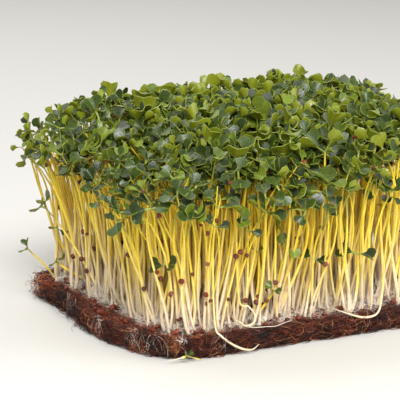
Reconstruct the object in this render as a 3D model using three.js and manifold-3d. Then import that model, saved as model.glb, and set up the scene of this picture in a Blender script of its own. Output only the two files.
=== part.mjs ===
// A pad of brassica microgreens on its coir growing mat. Millimetres, +Z up.
// The mat lies on its flat underside, centred on the origin, with its long side along X.
// Bunches of sprouts stand in plain sockets in the mat. Each bunch is two solids: the pale stems,
// joined at one root crown, and the cluster of green seed leaves that they carry.

import * as THREE from "three";
import { mergeVertices } from "three/addons/utils/BufferGeometryUtils.js";
import Module from "manifold-3d";

const wasm = await Module();
wasm.setup();

// Growing mat
const MAT_LENGTH = 140;
const MAT_DEPTH = 127;
const MAT_THICKNESS = 9;
const MAT_CORNER_RADIUS = 24;
const BACK_LEFT_RADIUS = 10; // this corner is cut sharper
const MAT_CELL = 14; // spacing of the relief's grid
const MAT_RELIEF = 0.55; // height of the lumps on top
const MAT_RAGGED = 1.5; // how far the torn rim wanders in and out
const FIBRE_LOOPS = 11; // coarse coir fibres that stand out of the rim
const FIBRE_RADIUS = 0.6;
const FIBRE_FOOT = 3.5; // how deep in the rim a fibre ends
const SEED_COATS = 10; // empty seed coats lying on the mat
const SEED_RADIUS = 1.25;

// Sockets in the mat, and the root crowns that stand in them
const CROWN_RADIUS = 4.2;
const CROWN_HEIGHT = 2.6; // above the mat
const CROWN_SIDES = 6;
const SOCKET_DEPTH = 5;
const ROOT_REACH = 2.3; // how far from the crown's middle its outer stems start
const CLEARANCE = 0.35; // between any two solids

// Bunches and sprouts
const BUNCHES_IN_ROW = [5, 6, 5, 6, 5];
const ROW_PITCH = 25;
const ROW_HALF_LENGTH = 60; // from the middle to a row's last bunch
const BUNCH_RADIUS = 10.5; // how far a bunch spreads where it leaves the mat
const SPROUTS_INSIDE = 5; // in a bunch inside the pad
const SPROUTS_AT_RIM = 6;
const GOLDEN_ANGLE = Math.PI * (3 - Math.sqrt(5));
const STEM_RADIUS = 0.95;
const STEM_STEPS = 3;
const TIP_HEIGHT = 77; // of the middle stems, above the surface that the mat lies on
const TIP_RISE_TO_BACK = 5;
const RIM_DROP = 8; // stems at the rim are this much shorter
const RIM_LEAN = 9; // and lean out by this much
const RIM_MARGIN = 6.5; // from the mat's edge to the outermost stem
const TIP_SCATTER = 2.5; // how far a stem's tip is from straight above its base
const HEIGHT_SCATTER = 3.5;
const ELBOW_HEIGHT = 9; // above the mat, where a stem has turned upright
const NECK_LENGTH = 24; // upper stretch of the stem that follows the leaves' tilt
const LEAF_TILT = 0.22;
const RIM_TILT = 0.4; // leaves at the rim face outwards by this much more

// Seed leaves: each pair is one blade, narrow where the stem carries it
const LEAF_LENGTH = 12;
const LEAF_THICKNESS = 0.8;
const LEAF_OUTLINE = [
  // along and across one leaf, as shares of its length
  [0.48, 0.4],
  [0.94, 0.42],
  [0.85, 0],
];
const WAIST_HALF_WIDTH = 0.09;

const ATTEMPTS = 70; // ways tried to fit one sprout in among the others
const LEAST_JOIN = 0.05; // volume in cubic millimetres that two leaves of a bunch share

const COIR_BROWN = 0x5a2c1c;
const STEM_CREAM = 0xe6d58c;
const LEAF_GREEN = 0x3f6a2c;

// Seeded random numbers from 0 to 1.
function randomStream(seed) {
  let state = seed >>> 0;
  return () => {
    state = (state + 0x6d2b79f5) >>> 0;
    let mixed = Math.imul(state ^ (state >>> 15), state | 1);
    mixed ^= mixed + Math.imul(mixed ^ (mixed >>> 7), mixed | 61);
    return ((mixed ^ (mixed >>> 14)) >>> 0) / 4294967296;
  };
}

const between = (draw, low, high) => low + (high - low) * draw();

// A closed geometry as a solid that can be cut and joined.
function toSolid(geometry) {
  const bare = new THREE.BufferGeometry();
  bare.setAttribute("position", geometry.getAttribute("position"));
  if (geometry.index) bare.setIndex(geometry.index);
  const merged = mergeVertices(bare, 1e-3);
  const corners = merged.index.array;
  const triVerts = [];
  for (let i = 0; i < corners.length; i += 3) {
    const [a, b, c] = corners.slice(i, i + 3);
    if (a !== b && b !== c && c !== a) triVerts.push(a, b, c);
  }
  const solid = new wasm.Manifold(
    new wasm.Mesh({
      numProp: 3,
      vertProperties: new Float32Array(merged.getAttribute("position").array),
      triVerts: new Uint32Array(triVerts),
    }),
  );
  if (solid.volume() < 0) throw new Error("a geometry is inside out");
  return solid;
}

function toGeometry(solid) {
  const mesh = solid.getMesh();
  const geometry = new THREE.BufferGeometry();
  const points = new Float32Array(mesh.numVert * 3);
  for (let i = 0; i < mesh.numVert; i++) {
    points.set(mesh.vertProperties.subarray(i * mesh.numProp, i * mesh.numProp + 3), i * 3);
  }
  geometry.setAttribute("position", new THREE.BufferAttribute(points, 3));
  geometry.setIndex(new THREE.BufferAttribute(new Uint32Array(mesh.triVerts), 1));
  geometry.computeVertexNormals();
  return geometry;
}

// True if a solid is one body that stays closed when its nearest points are merged.
function isCleanBody(solid) {
  try {
    return toSolid(toGeometry(solid)).decompose().length === 1;
  } catch {
    return false;
  }
}

// A thin rod with a polygon section, swept along a curve.
function rod(curve, radius, sides, steps) {
  const section = new THREE.Shape();
  for (let i = 0; i < sides; i++) {
    const angle = (2 * Math.PI * i) / sides;
    const [x, y] = [radius * Math.cos(angle), radius * Math.sin(angle)];
    if (i) section.lineTo(x, y);
    else section.moveTo(x, y);
  }
  section.closePath();
  return toSolid(
    new THREE.ExtrudeGeometry(section, { steps, extrudePath: curve, bevelEnabled: false }),
  );
}

// Low lumps from a sum of waves, from -1 to 1.
function lumps(x, y) {
  return (
    0.4 * Math.sin(0.31 * x + 0.17 * y + 1.1) +
    0.35 * Math.sin(0.23 * y - 0.37 * x + 0.4) +
    0.25 * Math.sin(0.71 * x + 0.59 * y)
  );
}

// The radius of the mat's corner in a point's quarter of the mat.
function cornerRadius(x, y) {
  return x < 0 && y > 0 ? BACK_LEFT_RADIUS : MAT_CORNER_RADIUS;
}

// The mat's slab: round corners, a lumpy top, a ragged rim and a flat underside.
function matSlab() {
  const columns = Math.round(MAT_LENGTH / MAT_CELL);
  const rows = Math.round(MAT_DEPTH / MAT_CELL);
  const box = new THREE.BoxGeometry(MAT_LENGTH, MAT_DEPTH, MAT_THICKNESS, columns, rows, 2);
  const at = box.getAttribute("position");
  for (let i = 0; i < at.count; i++) {
    let [x, y, z] = [at.getX(i), at.getY(i), at.getZ(i)];
    const radius = cornerRadius(x, y);
    const straightX = MAT_LENGTH / 2 - radius;
    const straightY = MAT_DEPTH / 2 - radius;
    const onTop = z > MAT_THICKNESS / 2 - 0.01;
    const onBottom = z < 0.01 - MAT_THICKNESS / 2;
    const onRim = Math.abs(x) > MAT_LENGTH / 2 - 0.01 || Math.abs(y) > MAT_DEPTH / 2 - 0.01;
    const a = Math.max(0, Math.abs(x) - straightX) / radius;
    const b = Math.max(0, Math.abs(y) - straightY) / radius;
    if (a > 0 && b > 0) {
      x = Math.sign(x) * (straightX + radius * a * Math.sqrt(1 - (b * b) / 2));
      y = Math.sign(y) * (straightY + radius * b * Math.sqrt(1 - (a * a) / 2));
    }
    if (onRim) {
      const wander = MAT_RAGGED * Math.sin(0.9 * x + 1.3 * y + 2.2 * z);
      const out = wander - (onBottom ? 1.5 : 0) - (onTop ? 1 : 0);
      const reach = Math.hypot(x, y);
      x += (out * x) / reach;
      y += (out * y) / reach;
    }
    if (onTop) z += MAT_RELIEF * lumps(x, y) - (onRim ? 0.8 : 0);
    at.setXYZ(i, x, y, z + MAT_THICKNESS / 2);
  }
  return toSolid(box);
}

// A point on the mat's outline and the way out of the mat there; turn goes from 0 to 1 round it.
function rimPoint(turn) {
  const angle = 2 * Math.PI * turn;
  const beyond = Math.hypot(MAT_LENGTH, MAT_DEPTH) / 2;
  const [farX, farY] = [beyond * Math.cos(angle), beyond * Math.sin(angle)];
  const [x, y] = insideRim(farX, farY, 0);
  const [innerX, innerY] = insideRim(farX, farY, 1);
  return { at: new THREE.Vector3(x, y, 0), out: new THREE.Vector3(x - innerX, y - innerY, 0) };
}

// Coarse fibres that leave the rim, curl in the air and go back in.
function fibreLoops() {
  const draw = randomStream(71);
  const loops = [];
  for (let i = 0; i < FIBRE_LOOPS; i++) {
    const start = rimPoint((i + between(draw, -0.3, 0.3)) / FIBRE_LOOPS);
    const end = rimPoint((i + between(draw, 0.5, 1.3)) / FIBRE_LOOPS);
    const reach = between(draw, 4, 9);
    const low = between(draw, 2, MAT_THICKNESS - 3);
    const high = between(draw, 2.5, MAT_THICKNESS + 1);
    const foot = start.at.clone().addScaledVector(start.out, -FIBRE_FOOT).setZ(low);
    const headHeight = Math.min(high, MAT_THICKNESS - 2.5);
    const head = end.at.clone().addScaledVector(end.out, -FIBRE_FOOT).setZ(headHeight);
    const bowOut = start.at.clone().addScaledVector(start.out, reach).setZ(low);
    const bowBack = end.at.clone().addScaledVector(end.out, reach * 0.7).setZ(high);
    const curve = new THREE.CubicBezierCurve3(foot, bowOut, bowBack, head);
    loops.push(rod(curve, FIBRE_RADIUS, 3, 3));
  }
  return loops;
}

// Empty seed coats, sunk a little into the top of the mat near its rim.
function seedCoats() {
  const draw = randomStream(5);
  const coats = [];
  for (let i = 0; i < SEED_COATS; i++) {
    const place = rimPoint((i + between(draw, 0, 0.7)) / SEED_COATS);
    const inset = between(draw, 4.2, 5.6);
    const coat = new THREE.IcosahedronGeometry(SEED_RADIUS, 0);
    coat.scale(1, 1, 0.8);
    coat.rotateZ(between(draw, 0, Math.PI));
    coat.translate(
      place.at.x - place.out.x * inset,
      place.at.y - place.out.y * inset,
      MAT_THICKNESS + 0.35,
    );
    coats.push(toSolid(coat));
  }
  return coats;
}

// A root crown: a plug in its socket with a low cone on top.
function crownSolid(bunch) {
  const foot = MAT_THICKNESS - SOCKET_DEPTH;
  const profile = [
    [0, foot],
    [CROWN_RADIUS, foot],
    [CROWN_RADIUS, MAT_THICKNESS + 0.8],
    [0, MAT_THICKNESS + CROWN_HEIGHT],
  ].map(([radius, height]) => new THREE.Vector2(radius, height));
  const crown = new THREE.LatheGeometry(profile, CROWN_SIDES);
  crown.rotateX(Math.PI / 2);
  crown.rotateZ(bunch.phase);
  crown.translate(bunch.x, bunch.y, 0);
  return toSolid(crown);
}

// The socket is as wide as the crown with its clearance, and open at the top.
function socketSolid(bunch) {
  const height = SOCKET_DEPTH + MAT_RELIEF + 3;
  const radius = CROWN_RADIUS + CLEARANCE;
  const hole = new THREE.CylinderGeometry(radius, radius, height, CROWN_SIDES);
  hole.rotateX(Math.PI / 2);
  hole.rotateZ(bunch.phase);
  hole.translate(bunch.x, bunch.y, MAT_THICKNESS - SOCKET_DEPTH - CLEARANCE + height / 2);
  return toSolid(hole);
}

// Where the bunches stand: rows along X, each as long as the mat allows.
function bunchPlaces() {
  const draw = randomStream(53);
  const places = [];
  BUNCHES_IN_ROW.forEach((count, row) => {
    for (let i = 0; i < count; i++) {
      const x = ROW_HALF_LENGTH * ((2 * i) / (count - 1) - 1);
      const y = ROW_PITCH * (row - (BUNCHES_IN_ROW.length - 1) / 2);
      const corner = Math.abs(x) > ROW_HALF_LENGTH - 1 && Math.abs(y) > 1.5 * ROW_PITCH;
      const pull = corner ? 0.94 : 1;
      const atRim = row === 0 || row === BUNCHES_IN_ROW.length - 1 || i === 0 || i === count - 1;
      places.push({
        index: places.length,
        sprouts: atRim ? SPROUTS_AT_RIM : SPROUTS_INSIDE,
        x: x * pull + between(draw, -1.5, 1.5),
        y: y * pull + between(draw, -1.5, 1.5),
        phase: between(draw, 0, 2 * Math.PI),
      });
    }
  });
  return places;
}

// Pulls a point inside a rectangle with round corners.
function insideRim(x, y, margin) {
  const radius = cornerRadius(x, y);
  const coreX = Math.max(-1, Math.min(1, x / (MAT_LENGTH / 2 - radius))) * (MAT_LENGTH / 2 - radius);
  const coreY = Math.max(-1, Math.min(1, y / (MAT_DEPTH / 2 - radius))) * (MAT_DEPTH / 2 - radius);
  const away = Math.hypot(x - coreX, y - coreY);
  const share = away > radius - margin ? (radius - margin) / away : 1;
  return [coreX + (x - coreX) * share, coreY + (y - coreY) * share];
}

// The stem's curve and the leaves' frame for one try at placing a sprout.
function sproutShape(bunch, order, attempt) {
  const draw = randomStream(Math.imul(bunch.index * 4096 + order * 256 + attempt + 1, 0x9e3779b1));
  const around = bunch.phase + GOLDEN_ANGLE * order + between(draw, -0.35, 0.35);
  const reach = BUNCH_RADIUS * Math.sqrt((order + 0.25) / (bunch.sprouts - 0.5));
  const [baseX, baseY] = insideRim(
    bunch.x + reach * Math.cos(around),
    bunch.y + reach * Math.sin(around),
    RIM_MARGIN,
  );
  const rimX = baseX / (MAT_LENGTH / 2 - RIM_MARGIN);
  const rimY = baseY / (MAT_DEPTH / 2 - RIM_MARGIN);
  const nearRim = Math.pow(Math.min(1, Math.pow(rimX, 8) + Math.pow(rimY, 8)), 0.6);
  const out = new THREE.Vector3(Math.pow(rimX, 5), Math.pow(rimY, 5), 0).normalize();
  const lean = RIM_LEAN * nearRim * between(draw, 0.35, 1);
  const tip = new THREE.Vector3(
    baseX + out.x * lean + between(draw, -TIP_SCATTER, TIP_SCATTER),
    baseY + out.y * lean + between(draw, -TIP_SCATTER, TIP_SCATTER),
    TIP_HEIGHT +
      TIP_RISE_TO_BACK * (baseY / (MAT_DEPTH / 2)) -
      RIM_DROP * nearRim * between(draw, 0.1, 1.4) +
      between(draw, -HEIGHT_SCATTER, HEIGHT_SCATTER),
  );
  const up = new THREE.Vector3(
    between(draw, -LEAF_TILT, LEAF_TILT) + out.x * nearRim * RIM_TILT,
    between(draw, -LEAF_TILT, LEAF_TILT) + out.y * nearRim * RIM_TILT,
    1,
  ).normalize();
  const rootReach = order ? ROOT_REACH : 0;
  const root = new THREE.Vector3(
    bunch.x + rootReach * Math.cos(around),
    bunch.y + rootReach * Math.sin(around),
    MAT_THICKNESS - 0.6,
  );
  const elbow = new THREE.Vector3(
    baseX + (baseX - bunch.x) * 0.25 + between(draw, -1.5, 1.5),
    baseY + (baseY - bunch.y) * 0.25 + between(draw, -1.5, 1.5),
    MAT_THICKNESS + ELBOW_HEIGHT,
  );
  const neck = tip.clone().addScaledVector(up, -NECK_LENGTH);
  const yaw = between(draw, 0, 2 * Math.PI);
  const along = new THREE.Vector3(Math.cos(yaw), Math.sin(yaw), 0);
  along.addScaledVector(up, -along.dot(up)).normalize();
  return {
    stem: new THREE.CubicBezierCurve3(root, elbow, neck, tip),
    tip,
    up,
    along,
    across: new THREE.Vector3().crossVectors(up, along),
    length: LEAF_LENGTH * between(draw, 0.88, 1.12),
    rise: [between(draw, 0.1, 0.62), between(draw, 0.1, 0.62)],
    arch: between(draw, 0.05, 0.3),
    fold: between(draw, 0.02, 0.22),
  };
}

// The flat outline of a pair of leaves, for leaves of length 1.
function pairOutline() {
  const [side, lobe, notch] = LEAF_OUTLINE;
  const half = [side, lobe, notch, [lobe[0], -lobe[1]], [side[0], -side[1]]];
  const otherHalf = half.map(([u, v]) => [-u, -v]);
  const points = [[0, WAIST_HALF_WIDTH], ...half, [0, -WAIST_HALF_WIDTH], ...otherHalf];
  return points.reverse().map(([u, v]) => new THREE.Vector2(u, v));
}

const PAIR_SHAPE = new THREE.Shape(pairOutline());

// The pair of leaves: a plate bent up from the waist, arched along and folded about the midrib.
function leafPair(shape, grow) {
  const size = shape.length + grow;
  const plate = new THREE.ExtrudeGeometry(PAIR_SHAPE, { depth: 1, bevelEnabled: false });
  const at = plate.getAttribute("position");
  const thickness = LEAF_THICKNESS + 2 * grow;
  const lift = CLEARANCE + 0.1 - grow;
  for (let i = 0; i < at.count; i++) {
    const [u, v] = [at.getX(i), at.getY(i)];
    const reach = Math.abs(u);
    const rise = shape.rise[u > 0 ? 0 : 1];
    const height =
      shape.length * (rise * reach - shape.arch * reach * reach + shape.fold * Math.abs(v)) +
      lift +
      thickness * at.getZ(i);
    const point = shape.tip
      .clone()
      .addScaledVector(shape.along, u * size)
      .addScaledVector(shape.across, v * size)
      .addScaledVector(shape.up, height);
    at.setXYZ(i, point.x, point.y, point.z);
  }
  return toSolid(plate);
}

const boxesMeet = (a, b) =>
  [0, 1, 2].every((axis) => a.min[axis] <= b.max[axis] && b.min[axis] <= a.max[axis]);

// A solid with its box, so that far pairs are passed over quickly.
const boxed = (solid, bunch) => ({ solid, box: solid.boundingBox(), bunch });

const sharedVolume = (a, b) =>
  boxesMeet(a.box, b.box) ? a.solid.intersect(b.solid).volume() : 0;

const hitsAny = (piece, others) => others.some((other) => sharedVolume(piece, other) > 0);

// Fits one sprout in among those placed, by the try that adds the fewest faces to its bunch.
// Returns null where none of the tries is clear of its neighbours.
function fitSprout(bunch, order, placed, cluster) {
  const otherStems = placed.stems.filter((stem) => stem.bunch !== bunch.index);
  const otherLeaves = placed.leaves.filter((leaf) => leaf.bunch !== bunch.index);
  const ownLeaves = placed.leaves.filter((leaf) => leaf.bunch === bunch.index);
  let best = null;
  for (let attempt = 0; attempt < ATTEMPTS; attempt++) {
    const shape = sproutShape(bunch, order, attempt);
    const wideStem = boxed(rod(shape.stem, STEM_RADIUS + 2 * CLEARANCE, 3, STEM_STEPS));
    if (hitsAny(wideStem, [placed.mat, ...otherStems, ...placed.leaves])) continue;
    const wideLeaves = boxed(leafPair(shape, CLEARANCE));
    if (hitsAny(wideLeaves, [...placed.stems, ...otherLeaves])) continue;
    const leaves = boxed(leafPair(shape, 0), bunch.index);
    const stem = boxed(rod(shape.stem, STEM_RADIUS, 3, STEM_STEPS), bunch.index);
    if (sharedVolume(leaves, stem) > 0) continue;
    if (ownLeaves.length && !ownLeaves.some((leaf) => sharedVolume(leaves, leaf) > LEAST_JOIN)) continue;
    const joinedLeaves = cluster.leaves ? cluster.leaves.add(leaves.solid) : leaves.solid;
    const joinedStems = cluster.stems.add(stem.solid);
    const faces = joinedLeaves.numTri() + joinedStems.numTri();
    if (best && faces >= best.faces) continue;
    if (!isCleanBody(joinedLeaves) || !isCleanBody(joinedStems)) continue;
    best = { leaves, stem, joinedLeaves, joinedStems, faces };
  }
  return best;
}

// Every bunch's stems and leaves, placed in rounds so that each bunch gets its share of the space.
function growBunches(bunches, mat) {
  const crowns = bunches.map((bunch) => boxed(crownSolid(bunch), bunch.index));
  const placed = { mat: boxed(mat), stems: [...crowns], leaves: [] };
  const clusters = crowns.map((crown) => ({ stems: crown.solid, leaves: null }));
  for (let order = 0; order < Math.max(SPROUTS_INSIDE, SPROUTS_AT_RIM); order++) {
    for (const bunch of bunches.filter((each) => order < each.sprouts)) {
      const cluster = clusters[bunch.index];
      const sprout = fitSprout(bunch, order, placed, cluster);
      if (!sprout) continue;
      placed.stems.push(sprout.stem);
      placed.leaves.push(sprout.leaves);
      cluster.stems = sprout.joinedStems;
      cluster.leaves = sprout.joinedLeaves;
    }
  }
  return clusters;
}

// The slab with a socket for each crown, and the fibres and seed coats that lie clear of the sockets.
function coirMat(bunches) {
  const sockets = bunches.map((bunch) => boxed(socketSolid(bunch)));
  const trimmed = sockets.reduce((mat, hole) => mat.subtract(hole.solid), matSlab());
  const trim = [...fibreLoops(), ...seedCoats()].filter((piece) => !hitsAny(boxed(piece), sockets));
  return trim.reduce((mat, piece) => {
    const joined = mat.add(piece);
    return isCleanBody(joined) ? joined : mat;
  }, trimmed);
}

function named(name, solid, material) {
  const mesh = new THREE.Mesh(toGeometry(solid), material);
  mesh.name = name;
  return mesh;
}

const coir = new THREE.MeshStandardMaterial({ color: COIR_BROWN, roughness: 0.95, metalness: 0 });
const stemSkin = new THREE.MeshStandardMaterial({ color: STEM_CREAM, roughness: 0.45, metalness: 0 });
const leafSkin = new THREE.MeshStandardMaterial({ color: LEAF_GREEN, roughness: 0.5, metalness: 0 });

const bunches = bunchPlaces();
const mat = coirMat(bunches);
const pad = new THREE.Group();
pad.add(named("coir_mat", mat, coir));
growBunches(bunches, mat).forEach((cluster, index) => {
  const number = String(index + 1).padStart(2, "0");
  const bunchGroup = new THREE.Group();
  bunchGroup.add(named(`stems_${number}`, cluster.stems, stemSkin));
  bunchGroup.add(named(`leaves_${number}`, cluster.leaves, leafSkin));
  pad.add(bunchGroup);
});

export default pad;
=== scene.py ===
import math

import bmesh
import bpy
import numpy as np
from bpy.props import FloatProperty, FloatVectorProperty, IntProperty, PointerProperty
from bpy.types import Operator, Panel, PropertyGroup
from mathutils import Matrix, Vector, noise


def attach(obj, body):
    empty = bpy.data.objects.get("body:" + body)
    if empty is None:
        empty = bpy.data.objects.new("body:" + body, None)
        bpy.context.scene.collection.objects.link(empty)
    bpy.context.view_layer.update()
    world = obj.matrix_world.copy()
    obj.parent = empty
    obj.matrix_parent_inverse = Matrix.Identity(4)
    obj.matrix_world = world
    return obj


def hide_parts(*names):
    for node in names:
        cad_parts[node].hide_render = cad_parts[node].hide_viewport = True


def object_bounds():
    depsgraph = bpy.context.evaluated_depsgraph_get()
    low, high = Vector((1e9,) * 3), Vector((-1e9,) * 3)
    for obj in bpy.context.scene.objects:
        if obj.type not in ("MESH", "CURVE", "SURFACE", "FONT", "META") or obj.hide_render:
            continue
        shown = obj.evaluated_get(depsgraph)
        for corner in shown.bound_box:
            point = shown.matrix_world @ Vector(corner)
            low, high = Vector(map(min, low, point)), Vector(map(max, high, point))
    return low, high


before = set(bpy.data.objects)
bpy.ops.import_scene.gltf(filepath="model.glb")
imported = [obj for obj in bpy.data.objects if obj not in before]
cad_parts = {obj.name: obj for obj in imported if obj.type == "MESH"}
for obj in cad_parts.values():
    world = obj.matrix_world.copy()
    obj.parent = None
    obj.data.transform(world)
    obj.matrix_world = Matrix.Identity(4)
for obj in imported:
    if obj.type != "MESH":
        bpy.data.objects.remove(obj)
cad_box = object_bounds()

bl_info = {
    "name": "Pad of microgreens",
    "version": (1, 0, 0),
    "blender": (4, 5, 0),
    "location": "3D View > Sidebar > Microgreens",
    "description": "Grows a pad of brassica sprouts on its coir mat, round the packed solids",
    "category": "Object",
}

MM = 0.001

# The mat, as in the solids
MAT_LENGTH = 140 * MM
MAT_DEPTH = 127 * MM
MAT_THICKNESS = 9 * MM
MAT_CORNER_RADIUS = 24 * MM
BACK_LEFT_RADIUS = 10 * MM
MAT_RAGGED = 1.5 * MM
MAT_RELIEF = 0.55 * MM

# The sprouts' rule, close to that of the solids
FOOT_HEIGHT = MAT_THICKNESS - 1.2 * MM
RIM_MARGIN = 6.5 * MM
TIP_RISE_TO_BACK = 5 * MM
RIM_DROP = 10 * MM
RIM_LEAN = 9.5 * MM
RIM_TILT = 0.5
NECK_LENGTH = 24 * MM

# The canopy leans out and falls at the left end, and rises at the right end
END_BEGINS = 35.2 * MM
END_FULL = 57.2 * MM
LEFT_LEAN = 12 * MM
LEFT_DROP = 10 * MM
LEFT_TILT = 0.55
RIGHT_RISE = 4 * MM

# Along its back the canopy lies this much lower at the far left and this much higher after that. Along the
# mat: where it is lowest, is highest, starts to sink back and has sunk back. Across it: where all that
# begins and where it is full
SHOULDER_RISE = 4 * MM
SHOULDER_STOPS = (-63.2 * MM, -47.2 * MM, -31.2 * MM, -19.2 * MM)
SHOULDER_DEPTHS = (27 * MM, 42 * MM)

# Young sprouts that stay low: their share inside the pad, and how much larger it is at the rim
LOW_SHARE, LOW_SHARE_AT_RIM = 0.015, 0.03

# How uneven the sprouts are
GRID_SCATTER = 0.27
SWAY = 1.9 * MM
TIP_SCATTER = 1.7 * MM
HEIGHT_SCATTER = 2.1 * MM
STEM_SPLAY = 4.4 * MM
TIP_SHIFT = (1.3 * MM, -0.7 * MM)

# Leaves reach past their stems, so tips stay this far inside the solids' box at its sides, and this share
# of a leaf's length below its top
TIP_MARGIN = 4.8 * MM
LEAF_RISE = 0.8

# How far the rim draws in above and below its middle, and how far the top's border sinks
RIM_ROUNDING = 1.3 * MM
BORDER_SINK = 0.7 * MM
BORDER_WIDTH = 2.5 * MM

# The torn part of the mat's left side: how far it swells, its middle, its reach along the side
# and how near the side a point lies that takes part
BULGE = 5.5 * MM
BULGE_MIDDLE = -12 * MM
BULGE_REACH = 27 * MM
BULGE_EDGE = -60 * MM

# A seed leaf: how much of its length is stalk, half the stalk's width, half the angle of its fan, the notch
# at its tip, how far its outer rays fall short, how deep it is cupped and how wavy it is
STALK_SHARE = 0.25
STALK_WIDTH = 0.042
FAN_ANGLE = 1.0
NOTCH_DEPTH, NOTCH_WIDTH = 0.15, 0.3
OUTER_FALL = 0.42
LEAF_CUP = 2.2
LEAF_RIPPLE = 0.03

# Faces of the repeated shapes
STEM_SIDES, STEM_RINGS = 6, 7
FREE_STEM_RINGS = 34
LEAF_ROWS, LEAF_COLUMNS = 2, 10
FIBRE_SIDES, FIBRE_RINGS = 3, 5
HAIR_SIDES, HAIR_RINGS = 3, 1
ROOT_SIDES, ROOT_RINGS = 4, 6
LONG_ROOT_SIDES, LONG_ROOT_RINGS = 5, 24

# The nest of pale fibres at the near corner, and where round the rim most wisps are
KNOT_FIBRES = 90
KNOT_MIDDLE = (-62.5 * MM, -58 * MM, 6.5 * MM)
WISP_TURN = 0.385

# Root hairs and roots
HAIR_TUFTS = 110
HAIR_RADIUS = 0.06 * MM
ROOT_BUNDLES = 34
LONG_ROOT_RADIUS = 0.16 * MM

# Starts of the random draws
SEEDS = {
    "sprouts": 23, "stems": 11, "leaves": 12, "roots": 31, "seed_coats": 41,
    "rim_fibres": 3, "top_fibres": 4, "loose_wisps": 5, "fibre_knot": 6,
}

# Light that enters a stem comes out yellow a little farther on
STEM_GLOW = {"Subsurface Weight": 0.35, "Subsurface Radius": (1, 0.85, 0.35), "Subsurface Scale": 0.0018}

BUNCHES = sorted(name[-2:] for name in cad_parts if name.startswith("stems_"))

# Sprouts that lean out of the pad, stay low or have fallen, in millimetres: foot, tip and size of
# their leaves. A foot of two numbers stands in the mat's top.
STRAYS = (
    ((-60, 14), (-73, 40, 44), 0.95),
    ((-66, 48), (-79, 46, 25), 0.75),
    ((-54, 26), (-66, 43, 18), 0.75),
    ((-60, -48), (-61, -50, 37), 0.85),
    ((-1, -59), (1, -62, 35), 0.7),
    ((21, -59), (22, -63, 35), 1.0),
    ((-31, -58), (-30, -62, 51), 0.7),
    ((-12, -57), (-11, -61, 41), 0.8),
    ((-50, -55), (-51, -61, 61), 0.95),
    ((48, -59), (52, -63, 44), 0.8),
    ((62, 10), (78, -4, 40), 0.9),
    ((18, 60), (12, 71, 36), 0.9),
    ((-30, 60), (-38, 71, 48), 0.8),
    ((-62, -65.2, 2.2), (-60.4, -65.7, 3.0), 0.42),
)

# Seed coats caught among the stems and leaves, in millimetres
CAUGHT = (
    (-23, 31, 91), (33, -44, 90), (0, -60, 81), (-72, -11, 84), (-72, -4, 74), (-79, -62, 82),
    (-23, -64, 82), (29, -64, 72), (9.5, -64, 69), (-39, -64, 72), (-43, -64, 56), (-8, -64, 45),
    (4, -64, 49), (-32, -64, 41), (-52, -64, 37), (-61, -62, 31), (-66, -60, 25), (-66, 20, 36),
    (-66, 12, 37), (-66, 20, 25), (-66, 14, 21), (-66, -41, 26), (-66, 30, 24), (-42, -62, 22.6),
    (-37, -62, 21.6), (-31.4, -62, 20.6), (-26.5, -62, 20.2), (-16.6, -62, 27), (-31, -62, 40),
    (-37.8, -62, 40),
)

# Stems that hang over the mat's front, curl above it or lie on the floor: their stops from foot to tip,
# in millimetres
FREE_STEMS = {
    "stem_over_front": (
        (-27, -66.4, 3.4), (-31, -67, 1.8), (-37, -66.6, 3.6), (-43.6, -64.6, 8.6), (-45, -61.5, 14),
        (-45, -60, 42), (-43, -60, 70),
    ),
    "stem_lying": (
        (11, -61, 12.4), (17, -64.4, 10), (24, -66, 7.8), (31, -65.6, 8.8), (35, -62.6, 16), (37, -61, 30),
        (42, -60, 70),
    ),
    "stem_loop": (
        (-35, -58.5, 9), (-34.4, -60.5, 13), (-31, -61.8, 10.6), (-27.4, -62.4, 11.4), (-26.6, -62, 15),
        (-29.4, -61.6, 18.6), (-33, -60, 22), (-33.5, -59, 50), (-32, -59, 70),
    ),
    "stem_fallen": (
        (-68.5, -62.5, 1.0), (-66, -64.2, 1.6), (-62.8, -64.9, 2.2), (-60, -65.1, 2.7), (-56.5, -65.7, 1.6),
        (-53.6, -66.2, 0.7),
    ),
}
FALLEN_RADIUS_SHARE = 0.55

# A root that lies along the top of the mat's front, in millimetres
LONG_ROOT = (
    (-31, -65.2, 11), (-28, -65.7, 10.5), (-24, -65.9, 10.3), (-19, -66, 9.9), (-15, -65.8, 10.6),
    (-11.4, -65.2, 11),
)


def linear(red, green, blue):
    """A display colour from 0 to 255, as the scene's linear colour."""
    shares = [channel / 255 for channel in (red, green, blue)]
    return tuple(s / 12.92 if s <= 0.04045 else ((s + 0.055) / 1.055) ** 2.4 for s in shares)


def colour(name, description, red, green, blue):
    """A colour that the user can change."""
    return FloatVectorProperty(
        name=name, description=description, subtype="COLOR", size=3, min=0, max=1,
        default=linear(red, green, blue),
    )


def length(name, description, millimetres):
    """A length that the user can change."""
    return FloatProperty(
        name=name, description=description, default=millimetres * MM, min=0, unit="LENGTH", precision=5
    )


def number(name, description, default):
    """A count that the user can change."""
    return IntProperty(name=name, description=description, default=default, min=0)


def power(name, description, watts):
    """A light's power that the user can change."""
    return FloatProperty(name=name, description=description, default=watts, min=0, unit="POWER")


def angle(name, description, degrees):
    """An angle that the user can change."""
    return FloatProperty(
        name=name, description=description, default=math.radians(degrees), subtype="ANGLE"
    )


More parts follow.
